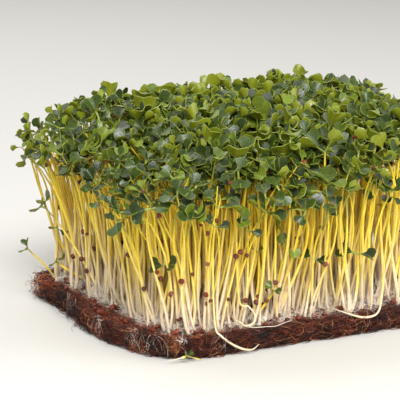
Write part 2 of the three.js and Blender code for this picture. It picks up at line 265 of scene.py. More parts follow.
class MatSettings(PropertyGroup):
    """The coir mat and its fibres."""

    cell: length("Cell", "Spacing of the mat's surface mesh", 1.3)
    felt_relief: length("Felt relief", "Height of the felt's small clumps", 0.55)
    felt_fibres: number("Felted fibres", "Fibres that hug the rim", 4000)
    top_fibres: number("Top fibres", "Fibres on the top's border", 1300)
    wisps: number("Wisps", "Loose fibres that stand out of the rim", 190)
    fibre_radius: length("Fibre radius", "Radius of a common coir fibre", 0.095)
    # In the felt this colour is painted shade in the hollows; on the loose fibres it is the darkest fibres'
    # own colour.
    dark: colour("Dark coir", "Felt in its hollows", 26, 10, 7)
    red: colour("Red coir", "Common felt and fibres", 142, 60, 30)
    tan: colour("Tan coir", "The palest fibres", 226, 160, 98)
    rooted: colour("Rooted coir", "Felt under the white root hairs", 176, 156, 138)


class SproutSettings(PropertyGroup):
    """The stems and their seed leaves."""

    spacing: length("Spacing", "Mean distance between two stems in a row", 3.55)
    height: length("Height", "Height of the middle stems above the floor", 81)
    stem_radius: length("Stem radius", "Radius of a stem at half its height", 0.58)
    leaf_length: length("Leaf length", "Length of a seed leaf with its stalk", 9.7)
    leaf_thickness: length("Leaf thickness", "Thickness of a seed leaf", 0.3)
    stem_base: colour("Stem base", "Stems where they leave the mat", 240, 220, 192)
    stem_middle: colour("Stem middle", "Stems at half their height", 250, 221, 114)
    stem_top: colour("Stem top", "Stems under the leaves", 246, 214, 62)
    stem_neck: colour("Stem neck", "Stems where the leaves begin", 140, 146, 52)
    leaf_dark: colour("Dark leaf", "Darkest upper sides", 35, 50, 12)
    leaf_mid: colour("Leaf", "Common upper sides", 58, 77, 21)
    leaf_young: colour("Young leaf", "Palest upper sides", 112, 128, 38)
    # The undersides' own paler yellow-green, brightened with painted light shining through the leaf.
    leaf_under: colour("Underside", "Undersides of the leaves", 126, 134, 28)
    # On the leaves' edges this colour is a painted highlight; on veins and stalks it is their own pale
    # colour.
    leaf_rim: colour("Rim and veins", "Edges, veins and stalks", 152, 164, 70)


class TrimSettings(PropertyGroup):
    """Root hairs, roots and seed coats."""

    root_hairs: number("Root hairs", "Hairs round the stems' bases", 12000)
    side_roots: number("Roots", "Thin roots on the mat's rim", 290)
    seeds_low: number("Seed coats below", "Coats lying on the mat", 230)
    seeds_high: number("Seed coats above", "Coats caught on stems", 90)
    seed_radius: length("Seed radius", "Radius of a seed coat", 1.25)
    hair_colour: colour("Root hair", "Root hairs and thin roots", 246, 240, 230)
    seed_colour: colour("Seed coat", "Empty seed coats", 118, 52, 32)


class StageSettings(PropertyGroup):
    """Floor, light and camera."""

    floor_colour: colour("Floor", "The plain floor", 206, 204, 199)
    daylight: FloatProperty(name="Daylight", description="Strength of the even light", default=0.3, min=0)
    key_power: power("Key light", "Power of the soft box", 18)
    fill_power: power("Fill light", "Power of the fill", 8.5)
    sheen_power: power("Sheen light", "Power of the light behind", 9)
    azimuth: angle("Azimuth", "Way the camera looks", -28.6)
    elevation: angle("Elevation", "Camera above the horizon", 12.9)
    distance: FloatProperty(name="Distance", description="Camera to target", default=1.0, unit="LENGTH")
    lens: FloatProperty(name="Lens", description="Focal length in millimetres", default=209, min=1)
    target: FloatVectorProperty(
        name="Target", description="Where the camera looks", default=(-0.0183, 0, 0.0496), subtype="XYZ"
    )


# Shapes that repeat


def finished(bm, name):
    """The bmesh as a mesh, freed."""
    mesh = bpy.data.meshes.new(name)
    bm.to_mesh(mesh)
    bm.free()
    return mesh


def placed(name, data):
    """A new object in the scene."""
    made = bpy.data.objects.new(name, data)
    bpy.context.scene.collection.objects.link(made)
    return made


def coordinates(mesh):
    """A mesh's vertices as an array."""
    flat = np.empty(len(mesh.vertices) * 3, np.float32)
    mesh.vertices.foreach_get("co", flat)
    return flat.reshape(-1, 3).astype(float)


def tube_template(sides, rings):
    """A closed tube of radius 1 that runs along Z from 0 to 1."""
    bm = bmesh.new()
    bmesh.ops.create_cone(bm, cap_ends=True, segments=sides, radius1=1, radius2=1, depth=1)
    upright = [edge for edge in bm.edges if abs(edge.verts[0].co.z - edge.verts[1].co.z) > 0.5]
    bmesh.ops.subdivide_edges(bm, edges=upright, cuts=rings)
    bmesh.ops.translate(bm, verts=bm.verts, vec=(0, 0, 0.5))
    return finished(bm, "tube")


def leaf_template():
    """A thin closed leaf: X runs from the stem to the tip, Y from edge to edge, both from 0 to 1.
    Z is 0 on the upper side and -1 on the underside."""
    bm = bmesh.new()
    bmesh.ops.create_grid(bm, x_segments=LEAF_ROWS, y_segments=LEAF_COLUMNS, size=0.5)
    bmesh.ops.translate(bm, verts=bm.verts, vec=(0.5, 0.5, 0))
    rows = [STALK_SHARE, 0.6, 1]
    for vert in bm.verts:
        vert.co.x = rows[round(vert.co.x * LEAF_ROWS)]
        vert.co.y = 0.5 + 0.5 * math.sin(math.pi * (vert.co.y - 0.5))
    made = bmesh.ops.extrude_face_region(bm, geom=bm.faces[:], use_keep_orig=True)["geom"]
    under = [part for part in made if isinstance(part, bmesh.types.BMVert)]
    bmesh.ops.translate(bm, verts=under, vec=(0, 0, -1))
    stalk = bmesh.ops.create_cube(bm, size=1)["verts"]
    bmesh.ops.translate(bm, verts=stalk, vec=(0.5, 0.5, -0.5))
    bmesh.ops.scale(bm, verts=stalk, vec=(1.12 * STALK_SHARE, 1, 1))
    bmesh.ops.recalc_face_normals(bm, faces=bm.faces)
    blade = bm.loops.layers.uv.new("blade")
    for face in bm.faces:
        for loop in face.loops:
            loop[blade].uv = loop.vert.co.xy
    return finished(bm, "leaf")


def coat_template():
    """An empty seed coat: a ball that is dented on one side."""
    bm = bmesh.new()
    bmesh.ops.create_uvsphere(bm, u_segments=8, v_segments=6, radius=1)
    for vert in bm.verts:
        if vert.co.z > 0.7:
            vert.co.z = 0.7 - 0.9 * (vert.co.z - 0.7)
    return finished(bm, "coat")


def stamped(name, template, points, **values):
    """One object of copies of the template, with each copy's vertices at its row of points.
    The values become attributes of the vertices."""
    bm = bmesh.new()
    for _ in range(len(points)):
        bm.from_mesh(template)
    mesh = finished(bm, name)
    mesh.vertices.foreach_set("co", points.astype(np.float32).ravel())
    for key, value in values.items():
        spread = np.broadcast_to(value, points.shape[:2]).astype(np.float32)
        mesh.attributes.new(key, "FLOAT", "POINT").data.foreach_set("value", spread.ravel())
    mesh.shade_smooth()
    mesh.set_sharp_from_angle(angle=math.radians(50))
    mesh.update()
    return placed(name, mesh)


def dressed(piece, material, slot, *nodes):
    """Gives a piece its material and its body, and hides the nodes that it stands for."""
    piece.data.materials.append(material)
    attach(piece, "root")
    if nodes:
        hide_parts(*nodes)
    return piece


def unit(vectors):
    """Vectors made one long."""
    return vectors / np.maximum(np.linalg.norm(vectors, axis=-1, keepdims=True), 1e-12)


def ramp(value, start, end):
    """0 up to the start, 1 from the end on, and even steps in between."""
    return np.clip((value - start) / (end - start), 0, 1)


def nearest(points, others):
    """For each point, the number of the nearest of the others."""
    return np.linalg.norm(points[:, None] - others[None], axis=-1).argmin(1)


def level_ways(angles):
    """Level vectors, one long, at these angles."""
    return np.stack([np.cos(angles), np.sin(angles), np.zeros(len(angles))], -1)


def arcs(*stops):
    """The four control points of each curve, as curves by 4 by 3."""
    return np.stack(stops, 1)


def on_curves(controls, t):
    """Points on cubic curves at the shares t, which has an axis for curves, for places and for x, y, z."""
    a, b, c, d = (controls[:, None, i] for i in range(4))
    return a * (1 - t) ** 3 + 3 * b * t * (1 - t) ** 2 + 3 * c * t**2 * (1 - t) + d * t**3


def ringed(template, middle, ahead, plane, radius):
    """Puts the template's rings round the middle points, square to the way ahead."""
    shape = coordinates(template)
    side = unit(plane - ahead * (plane * ahead).sum(-1, keepdims=True))
    over = np.cross(ahead, side)
    return middle + radius * (shape[:, 0, None] * side + shape[:, 1, None] * over)


def swept(template, controls, radii, taper):
    """Points of tubes along cubic curves. taper gives the radius' share for each place along the tube."""
    share = coordinates(template)[:, 2]
    a, b, c, d = (controls[:, None, i] for i in range(4))
    t = share[None, :, None]
    ahead = unit(3 * (b - a) * (1 - t) ** 2 + 6 * (c - b) * t * (1 - t) + 3 * (d - c) * t**2)
    plane = np.cross(controls[:, 1] - controls[:, 0], controls[:, 3] - controls[:, 2])
    plane = unit(plane + 1e-7 * np.array([0.3, 0.5, 0.2]))[:, None]
    radius = (radii[:, None] * taper(share)[None, :])[..., None]
    return ringed(template, on_curves(controls, t), ahead, plane, radius), share


def threaded(template, stops, radius, taper):
    """Points of one tube that passes smoothly through its stops, which lie about in an XZ plane."""
    share = coordinates(template)[:, 2]
    stops = np.array([2 * stops[0] - stops[1], *stops, 2 * stops[-1] - stops[-2]])
    spans = len(stops) - 3
    index = np.minimum((share * spans).astype(int), spans - 1)
    t = (share * spans - index)[:, None]
    a, b, c, d = (stops[index + step] for step in range(4))
    middle = b + 0.5 * t * (c - a + t * (2 * a - 5 * b + 4 * c - d + t * (3 * (b - c) + d - a)))
    ahead = unit(c - a + t * (2 * (2 * a - 5 * b + 4 * c - d) + 3 * t * (3 * (b - c) + d - a)))
    return ringed(template, middle, ahead, np.array([0, 1.0, 0]), (radius * taper(share))[:, None]), share


def even(share):
    """A tube that is as thick all along, but for its ends."""
    return 1 - 0.55 * np.abs(2 * share - 1) ** 6


# Places on the mat


def corner_radius(x, y):
    """The radius of the mat's corner in a point's quarter of the mat."""
    return np.where((x < 0) & (y > 0), BACK_LEFT_RADIUS, MAT_CORNER_RADIUS)


def mat_distance(x, y):
    """How far a point lies outside the mat's outline, and below 0 inside it."""
    radius = corner_radius(x, y)
    from_core_x = np.abs(x) - (MAT_LENGTH / 2 - radius)
    from_core_y = np.abs(y) - (MAT_DEPTH / 2 - radius)
    outside = np.hypot(np.maximum(from_core_x, 0), np.maximum(from_core_y, 0))
    return outside + np.minimum(np.maximum(from_core_x, from_core_y), 0) - radius


def inside_rim(x, y, margin):
    """Points pulled inside the mat's outline, which has round corners."""
    radius = corner_radius(x, y)
    core_x = np.clip(x, radius - MAT_LENGTH / 2, MAT_LENGTH / 2 - radius)
    core_y = np.clip(y, radius - MAT_DEPTH / 2, MAT_DEPTH / 2 - radius)
    away = np.maximum(np.hypot(x - core_x, y - core_y), 1e-9)
    share = np.minimum(1, (radius - margin) / away)
    return core_x + (x - core_x) * share, core_y + (y - core_y) * share


def bulge(x, y):
    """How far the torn rim swells at the middle of the left side."""
    return BULGE * np.exp(-(((y - BULGE_MIDDLE) / BULGE_REACH) ** 2)) * (x < BULGE_EDGE)


def rim_points(turns):
    """Points on the mat's outline and the way out of the mat there. turns go from 0 to 1 round it."""
    beyond = math.hypot(MAT_LENGTH, MAT_DEPTH) / 2
    far_x, far_y = beyond * np.cos(2 * math.pi * turns), beyond * np.sin(2 * math.pi * turns)
    x, y = inside_rim(far_x, far_y, 0)
    inner_x, inner_y = inside_rim(far_x, far_y, MM)
    zero = np.zeros_like(x)
    return np.stack([x - bulge(x, y), y, zero], -1), unit(np.stack([x - inner_x, y - inner_y, zero], -1))


def near_rim(x, y):
    """0 inside the pad, rising to 1 at its rim."""
    rim_x, rim_y = x / (MAT_LENGTH / 2 - RIM_MARGIN), y / (MAT_DEPTH / 2 - RIM_MARGIN)
    return np.minimum(1, rim_x**8 + rim_y**8) ** 0.6


def outwards(x, y):
    """The way from a point to the nearer rim, level."""
    return unit(np.stack([(x / MAT_LENGTH) ** 5, (y / MAT_DEPTH) ** 5, np.zeros_like(x)], -1))


def crown_places():
    """Where each bunch stands: the middle of its root crown, which is the lowest part of its stems."""
    places = []
    for bunch in BUNCHES:
        points = coordinates(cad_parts[f"stems_{bunch}"].data)
        low = points[points[:, 2] < MAT_THICKNESS]
        places.append((low.min(0) + low.max(0))[:2] / 2)
    return np.array(places)


def rooted_border(x, y):
    """How wide the bare border of the mat is near a point."""
    u, v = x / MM, y / MM
    patchy = np.sin(0.16 * u + 1.0) * np.sin(0.21 * v + 0.4) + 0.5 * np.sin(0.43 * u - 0.37 * v)
    return np.clip(4.0 + 2.6 * patchy + 2.4 * ramp(u, -36, -76), 2.2, 9) * MM


def near_border(points, width):
    """Which points lie within this distance of the mat's outline."""
    return mat_distance(points[:, 0], points[:, 1]) > -width


def spots(settings, rng):
    """An uneven triangular grid of places on the mat, without its bare border."""
    row = settings.spacing * math.sqrt(3) / 2
    ys = np.arange(-MAT_DEPTH / 2, MAT_DEPTH / 2, row)
    xs = np.arange(-MAT_LENGTH / 2, MAT_LENGTH / 2, settings.spacing)
    x, y = np.meshgrid(xs, ys)
    x = x + (np.arange(len(ys)) % 2 * settings.spacing / 2)[:, None]
    x, y = (grid.ravel() + rng.normal(0, GRID_SCATTER * settings.spacing, grid.size) for grid in (x, y))
    kept = mat_distance(x, y) < -rooted_border(x, y)
    return x[kept], y[kept]


def feet_and_tips(settings, rng):
    """Where the rule's sprouts leave the mat, where their leaves sit and how long those are."""
    x, y = spots(settings, rng)
    count = len(x)
    rim, out = near_rim(x, y), outwards(x, y)
    low = rng.random(count) < LOW_SHARE + LOW_SHARE_AT_RIM * rim
    size = settings.leaf_length * rng.uniform(0.6, 1.22, count) * np.where(low, 0.7, 1)
    size *= 1 - 0.15 * ramp(x, -30 * MM, -60 * MM)
    droop = rng.random(count)
    droop = np.where(x < -48 * MM, 0.05 + 0.55 * droop, droop)

    at_left = ramp(x, -END_BEGINS, -END_FULL) * (0.4 + 0.6 * droop)
    at_right = ramp(x, END_BEGINS, END_FULL)
    lowest, highest, sinking, sunk = SHOULDER_STOPS
    shoulder = (2 * ramp(x, lowest, highest) - 1) * ramp(x, sunk, sinking) * ramp(y, *SHOULDER_DEPTHS)
    sheltered = np.maximum(0.85 * at_right * (y > -45 * MM), 0.3 * (y > 45 * MM))

    lean = RIM_LEAN * rim * (0.3 + 0.8 * droop) + LEFT_LEAN * at_left
    tip = np.stack([x, y, np.full(count, settings.height)], -1) + out * lean[:, None]
    u, v = x / MM, y / MM
    sway = np.stack([np.sin(0.09 * u + 0.06 * v + 1), np.sin(0.07 * v - 0.08 * u + 2)], -1)
    tip[:, :2] += SWAY * sway + rng.normal(0, TIP_SCATTER, (count, 2)) + np.array(TIP_SHIFT)
    tip[:, 2] += TIP_RISE_TO_BACK * y / (MAT_DEPTH / 2) + RIGHT_RISE * at_right
    tip[:, 2] -= RIM_DROP * rim * (0.1 + 2.1 * droop) * (1 - sheltered)
    tip[:, 2] += rng.normal(0, HEIGHT_SCATTER, count) - LEFT_DROP * at_left
    tip[:, 2] += SHOULDER_RISE * shoulder
    least, most = (np.array(corner) for corner in cad_box)
    tip[:, :2] = np.clip(tip[:, :2], least[:2] + TIP_MARGIN, most[:2] - TIP_MARGIN)
    tip[:, 2] = np.minimum(tip[:, 2], most[2] - LEAF_RISE * size)
    tip[:, 2] *= np.where(low, rng.uniform(0.3, 0.72, count), 1)

    spot = np.stack([x, y], -1)
    middles = spot[rng.random(count) < 0.3]
    foot = spot + (middles[nearest(spot, middles)] - spot) * rng.uniform(0, 0.62, (count, 1))
    return np.concatenate([foot, np.full((count, 1), FOOT_HEIGHT)], 1), tip, size


def grow(settings):
    """Every sprout's stem curve and leaf frame, as arrays, from one seeded rule and the strays."""
    rng = np.random.default_rng(SEEDS["sprouts"])
    root, tip, size = feet_and_tips(settings, rng)
    stray_root = np.array([(*foot, FOOT_HEIGHT / MM)[:3] for foot, _, _ in STRAYS]) * MM
    stray_tip = np.array([top for _, top, _ in STRAYS]) * MM
    root, tip = np.concatenate([root, stray_root]), np.concatenate([tip, stray_tip])
    size = np.concatenate([size, settings.leaf_length * np.array([share for _, _, share in STRAYS])])
    rim, out = near_rim(root[:, 0], root[:, 1]), outwards(root[:, 0], root[:, 1])
    count = len(root)

    tilt = RIM_TILT * rim + LEFT_TILT * ramp(root[:, 0], -44 * MM, -66 * MM)
    up = rng.normal(0, 0.5, (count, 3)) + out * tilt[:, None]
    up[:, 2] = 1
    up = unit(up)
    reach = tip[:, 2] - root[:, 2]
    splay = rng.normal(0, STEM_SPLAY, (count, 2)) * np.minimum(1, reach / (50 * MM))[:, None]
    elbow = root + np.stack([splay[:, 0], splay[:, 1], reach * rng.uniform(0.12, 0.3, count)], -1)
    neck = tip - up * np.minimum(NECK_LENGTH, 0.4 * reach)[:, None]
    outward = np.arctan2(out[:, 1], out[:, 0]) + rng.normal(0, 0.55, count)
    yaw = np.where(rng.random(count) < 0.75 * rim, outward, rng.uniform(0, 2 * math.pi, count))
    return {
        "controls": arcs(root, elbow, neck, tip),
        "up": up,
        "yaw": yaw,
        "size": size,
        "tint": rng.random(count),
        "bunch": nearest(root[:, :2], crown_places()),
    }


# Materials


def add(tree, kind, inputs=None, **settings):
    """Adds a node, sets its properties, and fills or links its inputs by name or number."""
    node = tree.nodes.new("ShaderNode" + kind)
    for key, value in settings.items():
        setattr(node, key, value)
    for key, value in (inputs or {}).items():
        if isinstance(value, bpy.types.NodeSocket):
            tree.links.new(value, node.inputs[key])
        else:
            node.inputs[key].default_value = value
    return node


def reckoned(tree, operation, *values):
    """A number worked out from others."""
    return add(tree, "Math", dict(enumerate(values)), operation=operation).outputs[0]


def mixed(tree, factor, low, high, mode="MIX"):
    """A colour between two others."""
    node = add(tree, "Mix", {"Factor": factor}, data_type="RGBA", blend_type=mode)
    for socket, value in ((node.inputs[6], low), (node.inputs[7], high)):
        if isinstance(value, bpy.types.NodeSocket):
            tree.links.new(value, socket)
        else:
            socket.default_value = (*value, 1)
    return node.outputs[2]


def toned(tree, base, factor, low, high):
    """A colour multiplied by another, which goes from low to high with the factor."""
    return mixed(tree, 1.0, base, mixed(tree, factor, low, high), "MULTIPLY")


def ranged(tree, value, low, high, to_low=0.0, to_high=1.0):
    """A value eased from one range to another."""
    fill = {"Value": value, "From Min": low, "From Max": high, "To Min": to_low, "To Max": to_high}
    return add(tree, "MapRange", fill, interpolation_type="SMOOTHSTEP").outputs["Result"]


def attribute(tree, name):
    """A value kept on the mesh."""
    return add(tree, "Attribute", attribute_name=name).outputs["Fac"]


def place(tree):
    """Where on the piece a point lies."""
    return add(tree, "TexCoord").outputs["Object"]


def group(name, inputs, outputs):
    """A new shader node group with named sockets, and the node that holds its inputs."""
    tree = bpy.data.node_groups.new(name, "ShaderNodeTree")
    for label, kind, value in inputs:
        socket = tree.interface.new_socket(label, in_out="INPUT", socket_type=kind)
        if value is not None:
            socket.default_value = value
    for label, kind in outputs:
        tree.interface.new_socket(label, in_out="OUTPUT", socket_type=kind)
    return tree, tree.nodes.new("NodeGroupInput").outputs


def mottle_group(name):
    """Soft patches of two sizes, from 0 to 1."""
    tree, given = group(
        name,
        [("Vector", "NodeSocketVector", None), ("Scale", "NodeSocketFloat", 200.0)],
        [("Value", "NodeSocketFloat")],
    )
    fill = {"Vector": given["Vector"], "Scale": given["Scale"], "Detail": 4.0, "Roughness": 0.65}
    patches = add(tree, "TexNoise", fill).outputs["Fac"]
    tree.links.new(ranged(tree, patches, 0.32, 0.68), tree.nodes.new("NodeGroupOutput").inputs["Value"])
    return tree


def grain_group(name):
    """Fine bumps as a normal."""
    tree, given = group(
        name,
        [
            ("Vector", "NodeSocketVector", None),
            ("Scale", "NodeSocketFloat", 1500.0),
            ("Depth", "NodeSocketFloat", 0.0001),
        ],
        [("Normal", "NodeSocketVector")],
    )
    fill = {"Vector": given["Vector"], "Scale": given["Scale"], "Detail": 3.0, "Roughness": 0.6}
    bumps = add(tree, "TexNoise", fill).outputs["Fac"]
    bump = add(tree, "Bump", {"Height": bumps, "Distance": given["Depth"], "Strength": 1.0})
    tree.links.new(bump.outputs["Normal"], tree.nodes.new("NodeGroupOutput").inputs["Normal"])
    return tree


def shared(tree, maker, name, **values):
    """What a shared node group puts out with these values. The group is made the first time."""
    effect = bpy.data.node_groups.get(name) or maker(name)
    return add(tree, "Group", {"Vector": place(tree), **values}, node_tree=effect).outputs[0]


def mottle(tree, scale):
    """The shared mottle at this scale."""
    return shared(tree, mottle_group, "Mottle", Scale=scale)


def grain(tree, scale, depth):
    """The shared fine grain at this scale and depth."""
    return shared(tree, grain_group, "Fine grain", Scale=scale, Depth=depth)


def skin(name, roughness, plain=None):
    """A new material: its tree and its shader, with the shader's plain values set."""
    material = bpy.data.materials.new(name)
    material.use_nodes = True
    shader = material.node_tree.nodes["Principled BSDF"]
    shader.inputs["Roughness"].default_value = roughness
    for key, value in (plain or {}).items():
        shader.inputs[key].default_value = value
    return material, material.node_tree, shader.inputs


def worn_by(material, tree, shader, base, normal=None):
    """The material, with its colour and its normal linked to its shader."""
    tree.links.new(base, shader["Base Color"])
    if normal:
        tree.links.new(normal, shader["Normal"])
    return material


def known(maker, name, settings):
    """A material, made the first time that it is asked for."""
    return bpy.data.materials.get(name) or maker(name, settings)


def felt_skin(name, settings):
    """Matted coir: painted shade in its hollows, red-brown fibres, and pale root-grown patches on top."""
    material, tree, shader = skin(name, 0.92)
    where = place(tree)
    stretched = add(tree, "Mapping", {"Vector": where, "Scale": (1, 1, 2.6)}).outputs["Vector"]
    fill = {"Vector": stretched, "Scale": 520.0, "Detail": 5.0, "Roughness": 0.72, "Distortion": 1.6}
    strands = add(tree, "TexNoise", fill).outputs["Fac"]
    # Dark coir where the strands run low, in the bump's hollows, is painted shade.
    coir = mixed(tree, ranged(tree, strands, 0.42, 0.64), settings.dark, settings.red)
    coir = mixed(tree, ranged(tree, strands, 0.6, 0.74, 0, 0.7), coir, settings.tan)
    patches = ranged(tree, mottle(tree, 130.0), 0.15, 0.6, 0.25, 0.95)
    hairy = reckoned(tree, "MULTIPLY", attribute(tree, "rooted"), patches)
    coir = mixed(tree, hairy, coir, settings.rooted)
    bump = add(tree, "Bump", {"Height": strands, "Distance": 0.0009, "Strength": 1.0})
    return worn_by(material, tree, shader, coir, bump.outputs["Normal"])


def fibre_skin(name, settings):
    """Single coir fibres, each with its own tint, from dark to tan."""
    material, tree, shader = skin(name, 0.7)
    tint = attribute(tree, "tint")
    coir = mixed(tree, ranged(tree, tint, 0.0, 0.55), settings.dark, settings.red)
    coir = mixed(tree, ranged(tree, tint, 0.62, 1.0), coir, settings.tan)
    coir = toned(tree, coir, mottle(tree, 700.0), (0.4, 0.36, 0.34), (1.05, 1, 1))
    coir = toned(tree, coir, mottle(tree, 75.0), (0.12, 0.1, 0.1), (1.4, 1.3, 1.15))
    return worn_by(material, tree, shader, coir, grain(tree, 3000.0, 0.0001))


def stem_skin(name, settings):
    """Moist stems: white at the base, then yellow, and green where the leaves begin."""
    material, tree, shader = skin(name, 0.38, STEM_GLOW)
    share, tint = attribute(tree, "share"), attribute(tree, "tint")
    shifted = reckoned(tree, "ADD", ranged(tree, tint, 0, 1, -0.1, 0.1), share)
    body = mixed(tree, ranged(tree, shifted, 0.12, 0.52), settings.stem_base, settings.stem_middle)
    body = mixed(tree, ranged(tree, shifted, 0.4, 0.8), body, settings.stem_top)
    body = mixed(tree, ranged(tree, shifted, 0.84, 1.02), body, settings.stem_neck)
    body = toned(tree, body, mottle(tree, 160.0), (0.86, 0.84, 0.76), (1, 1, 1))
    return worn_by(material, tree, shader, body, grain(tree, 1800.0, 0.00006))


def leaf_skin(name, settings):
    """Seed leaves: dark satin upper sides with painted highlights on their rims, pale veins, yellow-green
    stalks, and yellow-green undersides brightened with painted light shining through them.
    """
    material, tree, shader = skin(name, 0.42, {"Specular IOR Level": 0.42})
    blade = add(tree, "SeparateXYZ", {"Vector": add(tree, "UVMap", uv_map="blade").outputs["UV"]}).outputs
    along, tint, under = blade["X"], attribute(tree, "tint"), attribute(tree, "under")
    across = reckoned(tree, "ABSOLUTE", reckoned(tree, "SUBTRACT", blade["Y"], 0.5))
    top = mixed(tree, ranged(tree, tint, 0.1, 0.6), settings.leaf_dark, settings.leaf_mid)
    top = mixed(tree, ranged(tree, tint, 0.72, 1.0), top, settings.leaf_young)
    top = toned(tree, top, mottle(tree, 420.0), (0.72, 0.78, 0.72), (1.08, 1.04, 1))
    # Undersides: their own yellow-green, partly painted light shining through the leaf.
    base = mixed(tree, ranged(tree, under, 0.2, 0.8), top, settings.leaf_under)

    slanted = reckoned(tree, "MULTIPLY_ADD", across, -1.1, along)
    crests = reckoned(tree, "SINE", reckoned(tree, "MULTIPLY", slanted, 38.0))
    side_veins = ranged(tree, crests, 0.88, 1.0, 0, 0.12)
    midrib = ranged(tree, across, 0.035, 0.008, 0, 0.45)
    stalk = ranged(tree, along, 0.34, 0.2, 0, 0.8)
    # Painted highlights along the leaf's side edges and at its tip.
    side_rim_highlight = ranged(tree, across, 0.485, 0.5, 0, 0.5)
    end_rim_highlight = ranged(tree, along, 0.985, 1.0, 0, 0.5)
    # pale gathers the real pale veins, midrib and stalk, and the painted rim highlights.
    pale = side_veins
    for mask in (midrib, stalk, side_rim_highlight, end_rim_highlight):
        pale = reckoned(tree, "MAXIMUM", pale, mask)
    base = mixed(tree, pale, base, settings.leaf_rim)
    tree.links.new(ranged(tree, mottle(tree, 900.0), 0, 1, 0.24, 0.42), shader["Roughness"])
    ribs = reckoned(tree, "ADD", midrib, side_veins)
    fill = {"Height": ribs, "Distance": -0.00012, "Strength": 0.8, "Normal": grain(tree, 1600.0, 0.00009)}
    return worn_by(material, tree, shader, base, add(tree, "Bump", fill).outputs["Normal"])


def root_skin(name, settings):
    """White root hairs and thin roots, a little stained."""
    material, tree, shader = skin(name, 0.75)
    base = toned(tree, settings.hair_colour, attribute(tree, "tint"), (1, 1, 1), (0.72, 0.6, 0.5))
    return worn_by(material, tree, shader, base)


def coat_skin(name, settings):
    """Thin red-brown seed coats."""
    material, tree, shader = skin(name, 0.4)
    base = toned(tree, settings.seed_colour, mottle(tree, 900.0), (0.45, 0.4, 0.4), (1.25, 1.15, 1.1))
    base = toned(tree, base, attribute(tree, "tint"), (0.5, 0.5, 0.55), (1.2, 1.2, 1.1))
    return worn_by(material, tree, shader, base, grain(tree, 1500.0, 0.00015))


def plain_skin(name, settings):
    """The floor."""
    material, _, shader = skin(name, 0.8)
    shader["Base Color"].default_value = (*settings.floor_colour, 1)
    return material


# Operators


class MICROGREENS_OT_mat(Operator):
    """Makes the felted mat, with its lumpy top, torn rim and flat underside"""

    bl_idname = "microgreens.mat"
    bl_label = "Coir mat"

    def execute(self, context):
        settings = context.scene.microgreens_mat
        columns, rows = round(MAT_LENGTH / settings.cell), round(MAT_DEPTH / settings.cell)
        layers = round(MAT_THICKNESS / settings.cell)
        bm = bmesh.new()
        bmesh.ops.create_grid(bm, x_segments=columns, y_segments=rows, size=0.5)
        bmesh.ops.scale(bm, verts=bm.verts, vec=(MAT_LENGTH, MAT_DEPTH, 1))
        bmesh.ops.translate(bm, verts=bm.verts, vec=(0, 0, MAT_THICKNESS))
        edges = [edge for edge in bm.edges if edge.is_boundary]
        for _ in range(layers):
            made = bmesh.ops.extrude_edge_only(bm, edges=edges)["geom"]
            edges = [part for part in made if isinstance(part, bmesh.types.BMEdge)]
            fresh = [part for part in made if isinstance(part, bmesh.types.BMVert)]
            bmesh.ops.translate(bm, verts=fresh, vec=(0, 0, -MAT_THICKNESS / layers))
        bmesh.ops.contextual_create(bm, geom=edges)
        for vert in bm.verts:
            vert.co = self.felted(vert.co, settings.felt_relief)
        bmesh.ops.recalc_face_normals(bm, faces=bm.faces)
        mesh = finished(bm, "mat_felt")
        mesh.shade_smooth()
        x, y, _ = coordinates(mesh).T
        bare = 0.6 * rooted_border(x, y)
        rooted = ramp(-mat_distance(x, y), bare, bare + 3 * MM)
        mesh.attributes.new("rooted", "FLOAT", "POINT").data.foreach_set("value", rooted.astype(np.float32))
        material = known(felt_skin, "coir felt", settings)
        dressed(placed("mat_felt", mesh), material, "coir", "coir_mat")
        return {"FINISHED"}

    def felted(self, point, relief):
        """A point of the plain slab, moved to where the felt is."""
        x, y, z = point
        half_x, half_y = MAT_LENGTH / 2, MAT_DEPTH / 2
        radius = float(corner_radius(x, y))
        a = max(0, abs(x) - half_x + radius) / radius
        b = max(0, abs(y) - half_y + radius) / radius
        on_rim = max(abs(x) - half_x, abs(y) - half_y) > -0.01 * MM
        if a > 0 and b > 0:
            x = math.copysign(half_x - radius * (1 - a * math.sqrt(1 - b * b / 2)), x)
            y = math.copysign(half_y - radius * (1 - b * math.sqrt(1 - a * a / 2)), y)
        clumps = noise.turbulence(Vector((x, y, z * 1.6)) / (3.2 * MM), 3, False)
        if on_rim:
            u, v, w = x / MM, y / MM, (z - MAT_THICKNESS / 2) / MM
            level = 2 * z / MAT_THICKNESS - 1
            out = MAT_RAGGED * math.sin(0.9 * u + 1.3 * v + 2.2 * w) * 0.6
            out += -RIM_ROUNDING * abs(level) ** 3 + 2.2 * relief * (clumps - 0.4)
            reach = math.hypot(x, y)
            x, y = x + out * x / reach - float(bulge(x, y)), y + out * y / reach
            if z > 0.01 * MM:
                z += relief * (clumps - 0.4)
        elif z > MAT_THICKNESS / 2:
            u, v = x / MM, y / MM
            lump = 0.4 * math.sin(0.31 * u + 0.17 * v + 1.1) + 0.35 * math.sin(0.23 * v - 0.37 * u + 0.4)
            z += MAT_RELIEF * (lump + 0.25 * math.sin(0.71 * u + 0.59 * v)) + 1.6 * relief * (clumps - 0.4)
            z -= BORDER_SINK * max(0, 1 + mat_distance(x, y) / BORDER_WIDTH)
        return Vector((x, y, max(0, z)))


